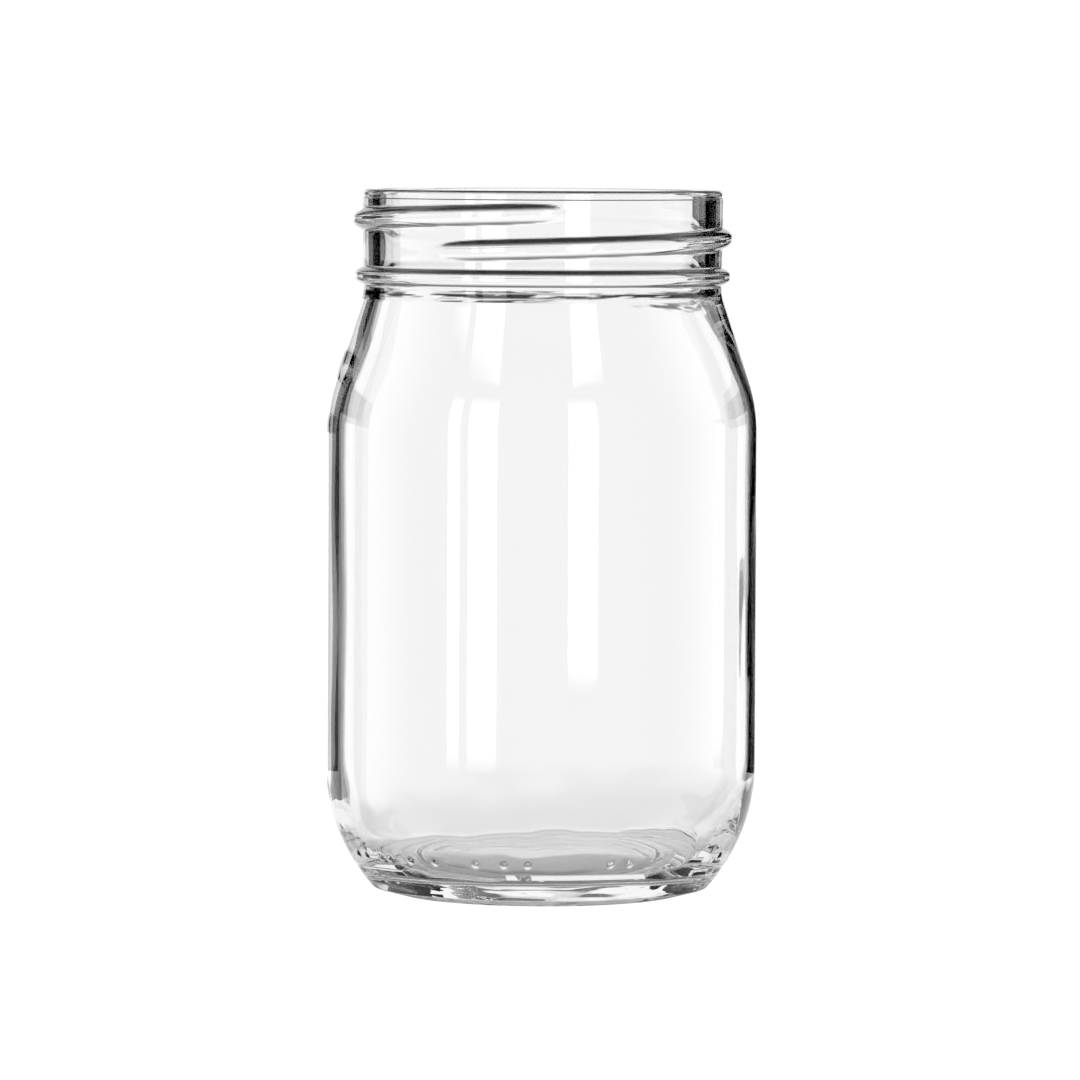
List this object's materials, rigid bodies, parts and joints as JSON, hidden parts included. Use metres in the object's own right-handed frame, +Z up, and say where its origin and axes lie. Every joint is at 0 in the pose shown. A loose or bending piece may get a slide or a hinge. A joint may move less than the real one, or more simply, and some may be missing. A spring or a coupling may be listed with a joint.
{
  "type": "mason jar",
  "caption": "Clear glass mason jar with a wide continuous-thread finish, transfer bead, sloped shoulder, round straight body and pushed-up base.",
  "frame": {"origin": "centre of the base, on the plane that the bearing ring stands on", "axes": "+Z up the jar's axis towards its mouth; -Y is the front, where the thread's lower end and the row of code dots are; the thread is right-handed about +Z"},
  "size_m": [0.0794, 0.0794, 0.13],
  "materials": {
    "clear_glass": "clear flint glass, fire-polished"
  },
  "bodies": {
    "root": {"glass_jar": "clear_glass"}
  },
  "joints": []
}
